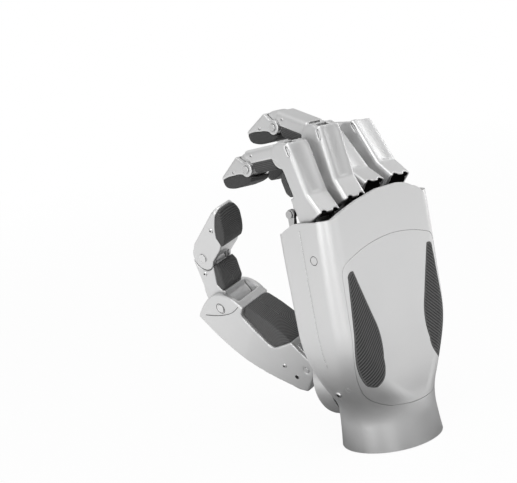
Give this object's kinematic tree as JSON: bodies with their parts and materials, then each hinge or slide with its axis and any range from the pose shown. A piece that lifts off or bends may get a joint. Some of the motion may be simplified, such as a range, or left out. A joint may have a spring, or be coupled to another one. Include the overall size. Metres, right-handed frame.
{
  "type": "dexterous robot hand",
  "caption": "Right-handed robot hand: silver palm housing on a wrist cuff, jointed fingers driven by push rods at cross-shaft knuckles, a turret thumb and dark grip pads.",
  "frame": {"origin": "centre of the wrist cuff's lower rim", "axes": "+Z from the wrist along the palm, palm faces -Y, thumb and index side is +X"},
  "size_m": [0.0922, 0.1557, 0.1994],
  "materials": {
    "shell": "satin silver",
    "pad_rubber": "matt, finely ribbed",
    "pad_weave": "matt, woven look",
    "grip": "diagonal ribs",
    "frame_metal": "machined, dark",
    "drive_metal": "anodised",
    "board": "solder mask",
    "steel": "brushed",
    "pin_steel": "turned"
  },
  "bodies": {
    "hand": {"palm_shell": "shell", "back_shell": "shell", "dorsal_cover": "shell", "side_grips": "grip", "palm_pad": "pad_weave", "palm_chassis": "frame_metal", "wrist_flange": "frame_metal", "palm_drives": "drive_metal", "control_board": "board", "shell_screws": "pin_steel"},
    "index_cross": {"index_knuckle": "steel"},
    "index_first": {"index_proximal": "shell", "index_proximal_pad": "pad_rubber", "index_cross_bar": "steel"},
    "index_second": {"index_middle": "shell", "index_middle_pad": "pad_rubber", "index_pins": "pin_steel"},
    "index_third": {"index_distal": "shell", "index_distal_pad": "pad_rubber"},
    "index_links": {"index_push_rods": "steel"},
    "middle_cross": {"middle_knuckle": "steel"},
    "middle_first": {"middle_proximal": "shell", "middle_proximal_pad": "pad_rubber", "middle_cross_bar": "steel"},
    "middle_second": {"middle_middle": "shell", "middle_middle_pad": "pad_rubber", "middle_pins": "pin_steel"},
    "middle_third": {"middle_distal": "shell", "middle_distal_pad": "pad_rubber"},
    "middle_links": {"middle_push_rods": "steel"},
    "ring_cross": {"ring_knuckle": "steel"},
    "ring_first": {"ring_proximal": "shell", "ring_proximal_pad": "pad_rubber", "ring_cross_bar": "steel"},
    "ring_second": {"ring_middle": "shell", "ring_middle_pad": "pad_rubber", "ring_pins": "pin_steel"},
    "ring_third": {"ring_distal": "shell", "ring_distal_pad": "pad_rubber"},
    "ring_links": {"ring_push_rods": "steel"},
    "pinky_cross": {"pinky_knuckle": "steel"},
    "pinky_first": {"pinky_proximal": "shell", "pinky_proximal_pad": "pad_rubber", "pinky_cross_bar": "steel"},
    "pinky_second": {"pinky_middle": "shell", "pinky_middle_pad": "pad_rubber", "pinky_pins": "pin_steel"},
    "pinky_third": {"pinky_distal": "shell", "pinky_distal_pad": "pad_rubber"},
    "pinky_links": {"pinky_push_rods": "steel"},
    "thumb_base": {"thumb_turret": "shell"},
    "thumb_first": {"thumb_metacarpal": "shell", "thumb_back_cover": "shell", "thumb_metacarpal_pad": "pad_rubber", "thumb_pins": "pin_steel"},
    "thumb_second": {"thumb_proximal": "shell", "thumb_proximal_pad": "pad_rubber", "thumb_ip_pin": "pin_steel"},
    "thumb_third": {"thumb_distal": "shell", "thumb_distal_pad": "pad_rubber"}
  },
  "joints": [
    {"name": "index_spread", "type": "hinge", "parent": "hand", "child": "index_cross", "pos_m": [0.03225, 0.0018, 0.1362], "axis": [0, 1, 0], "range_deg": [-3, 3]},
    {"name": "index_bend", "type": "hinge", "parent": "index_cross", "child": "index_first", "pos_m": [0.03225, 0.0018, 0.1362], "axis": [0.999, 0, 0.0454], "range_deg": [-24, 51]},
    {"name": "index_middle_bend", "type": "hinge", "parent": "index_first", "child": "index_second", "pos_m": [0.03043, -0.01204, 0.17634], "axis": [0.999, 0, 0.0454], "range_deg": [-77, 11]},
    {"name": "index_end_bend", "type": "hinge", "parent": "index_second", "child": "index_third", "pos_m": [0.03072, -0.04202, 0.16988], "axis": [0.999, 0, 0.0454], "range_deg": [-19, 47]},
    {"name": "index_link_swing", "type": "hinge", "parent": "index_first", "child": "index_links", "pos_m": [0.03191, -0.0101, 0.14373], "axis": [0.999, 0, 0.0454], "range_deg": [-51, 24]},
    {"name": "middle_spread", "type": "hinge", "parent": "hand", "child": "middle_cross", "pos_m": [0.01075, 0.0018, 0.141], "axis": [0, 1, 0], "range_deg": [-3, 3]},
    {"name": "middle_bend", "type": "hinge", "parent": "middle_cross", "child": "middle_first", "pos_m": [0.01075, 0.0018, 0.141], "axis": [0.9995, 0, 0.0314], "range_deg": [-17, 58]},
    {"name": "middle_middle_bend", "type": "hinge", "parent": "middle_first", "child": "middle_second", "pos_m": [0.00944, -0.00704, 0.18255], "axis": [0.9995, 0, 0.0314], "range_deg": [-58, 30]},
    {"name": "middle_end_bend", "type": "hinge", "parent": "middle_second", "child": "middle_third", "pos_m": [0.00921, -0.03683, 0.18988], "axis": [0.9995, 0, 0.0314], "range_deg": [-38, 28]},
    {"name": "middle_link_swing", "type": "hinge", "parent": "middle_first", "child": "middle_links", "pos_m": [0.01047, -0.0091, 0.14993], "axis": [0.9995, 0, 0.0314], "range_deg": [-58, 17]},
    {"name": "ring_spread", "type": "hinge", "parent": "hand", "child": "ring_cross", "pos_m": [-0.01075, 0.0018, 0.141], "axis": [0, 1, 0], "range_deg": [-3, 3]},
    {"name": "ring_bend", "type": "hinge", "parent": "ring_cross", "child": "ring_first", "pos_m": [-0.01075, 0.0018, 0.141], "axis": [0.9971, 0, 0.0767], "range_deg": [-44, 31]},
    {"name": "ring_middle_bend", "type": "hinge", "parent": "ring_first", "child": "ring_second", "pos_m": [-0.01328, -0.02495, 0.17393], "axis": [0.9971, 0, 0.0767], "range_deg": [-47, 41]},
    {"name": "ring_end_bend", "type": "hinge", "parent": "ring_second", "child": "ring_third", "pos_m": [-0.0132, -0.0556, 0.17277], "axis": [0.9971, 0, 0.0767], "range_deg": [-56, 10]},
    {"name": "ring_link_swing", "type": "hinge", "parent": "ring_first", "child": "ring_links", "pos_m": [-0.01098, -0.01196, 0.144], "axis": [0.9971, 0, 0.0767], "range_deg": [-31, 44]},
    {"name": "pinky_spread", "type": "hinge", "parent": "hand", "child": "pinky_cross", "pos_m": [-0.03225, 0.0018, 0.141], "axis": [0, 1, 0], "range_deg": [-3, 3]},
    {"name": "pinky_bend", "type": "hinge", "parent": "pinky_cross", "child": "pinky_first", "pos_m": [-0.03225, 0.0018, 0.141], "axis": [0.9934, 0, 0.1149], "range_deg": [-39, 36]},
    {"name": "pinky_middle_bend", "type": "hinge", "parent": "pinky_first", "child": "pinky_second", "pos_m": [-0.0363, -0.02197, 0.176], "axis": [0.9934, 0, 0.1149], "range_deg": [-54, 34]},
    {"name": "pinky_end_bend", "type": "hinge", "parent": "pinky_second", "child": "pinky_third", "pos_m": [-0.03604, -0.05256, 0.17378], "axis": [0.9934, 0, 0.1149], "range_deg": [-45, 21]},
    {"name": "pinky_link_swing", "type": "hinge", "parent": "pinky_first", "child": "pinky_links", "pos_m": [-0.03273, -0.01165, 0.14517], "axis": [0.9934, 0, 0.1149], "range_deg": [-36, 39]},
    {"name": "thumb_turn", "type": "hinge", "parent": "hand", "child": "thumb_base", "pos_m": [0.004, -0.0225, 0.039], "axis": [0, 1, 0], "range_deg": [-30, 30]},
    {"name": "thumb_root_bend", "type": "hinge", "parent": "thumb_base", "child": "thumb_first", "pos_m": [0.00514, -0.0485, 0.04387], "axis": [0.9736, 0, -0.2284], "range_deg": [-20, 22]},
    {"name": "thumb_knuckle_bend", "type": "hinge", "parent": "thumb_first", "child": "thumb_second", "pos_m": [0.01491, -0.10135, 0.08553], "axis": [0.9736, 0, -0.2284], "range_deg": [-14, 50]},
    {"name": "thumb_end_bend", "type": "hinge", "parent": "thumb_second", "child": "thumb_third", "pos_m": [0.02251, -0.10403, 0.11792], "axis": [0.9736, 0, -0.2284], "range_deg": [-18, 34]}
  ],
  "couplings": [
    {"joint": "index_link_swing", "follows": "index_bend", "ratio": -1},
    {"joint": "middle_link_swing", "follows": "middle_bend", "ratio": -1},
    {"joint": "ring_link_swing", "follows": "ring_bend", "ratio": -1},
    {"joint": "pinky_link_swing", "follows": "pinky_bend", "ratio": -1}
  ]
}
